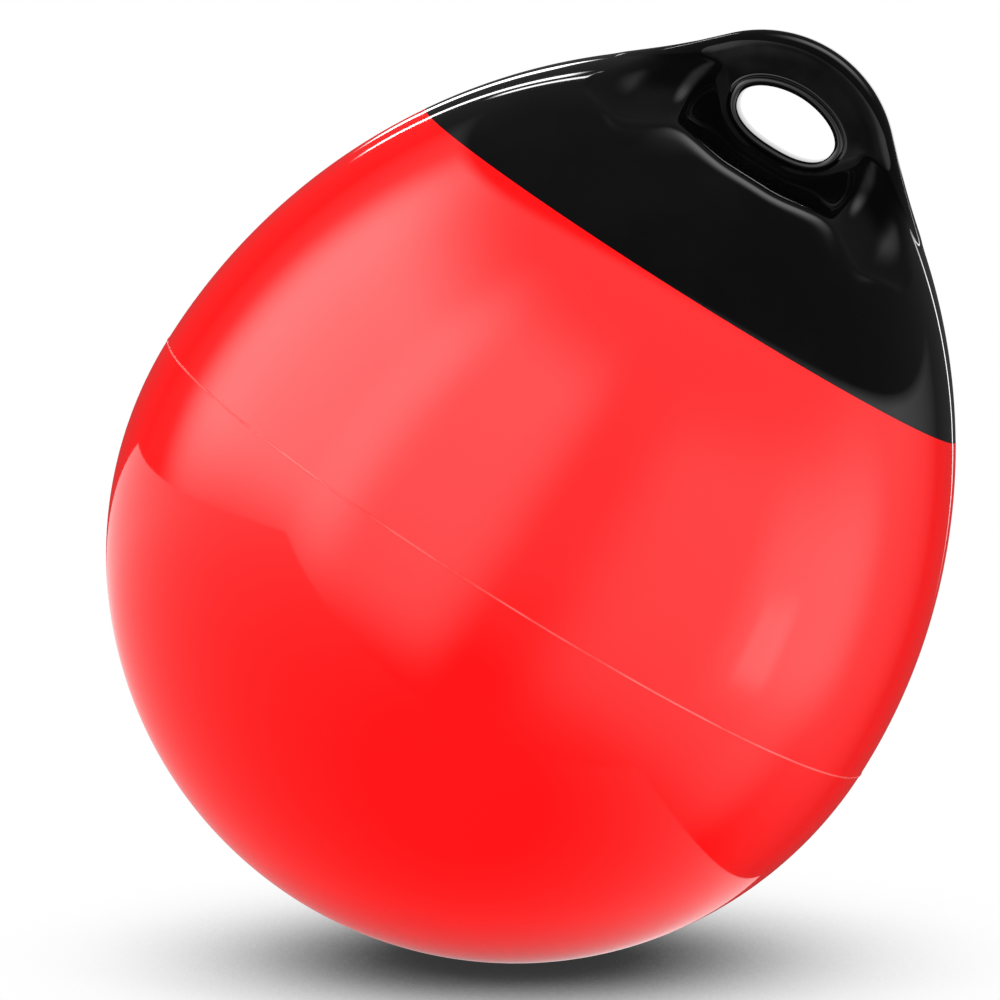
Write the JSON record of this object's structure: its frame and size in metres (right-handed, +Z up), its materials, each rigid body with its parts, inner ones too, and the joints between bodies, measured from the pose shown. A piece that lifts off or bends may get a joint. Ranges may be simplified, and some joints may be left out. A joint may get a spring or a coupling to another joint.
{
  "type": "inflatable round mooring buoy",
  "caption": "Teardrop-shaped inflatable vinyl buoy, red with a black moulded rope hold and an oval rope eye; it floats as a mooring mark, marker or fender.",
  "frame": {"origin": "centre of the water plane, straight below the centre of the round body when it floats empty", "axes": "+Z up out of the water; the buoy leans 32 degrees from +Z toward +X, as in the picture; the eye's face looks toward -Y, turned 5 degrees toward -X"},
  "size_m": [0.3946, 0.3812, 0.4345],
  "materials": {
    "red_vinyl": "glossy moulded vinyl",
    "black_vinyl": "glossy moulded vinyl",
    "grey_nylon": "satin moulded nylon",
    "black_rubber": "matt rubber",
    "white_nylon": "satin moulded nylon"
  },
  "bodies": {
    "root": {"lower_shell": "red_vinyl", "upper_shell": "red_vinyl", "seam_bead": "red_vinyl", "rope_hold": "black_vinyl", "eye_ring": "black_vinyl", "valve_body": "grey_nylon", "valve_washer": "black_rubber", "valve_plug": "white_nylon"}
  },
  "joints": []
}
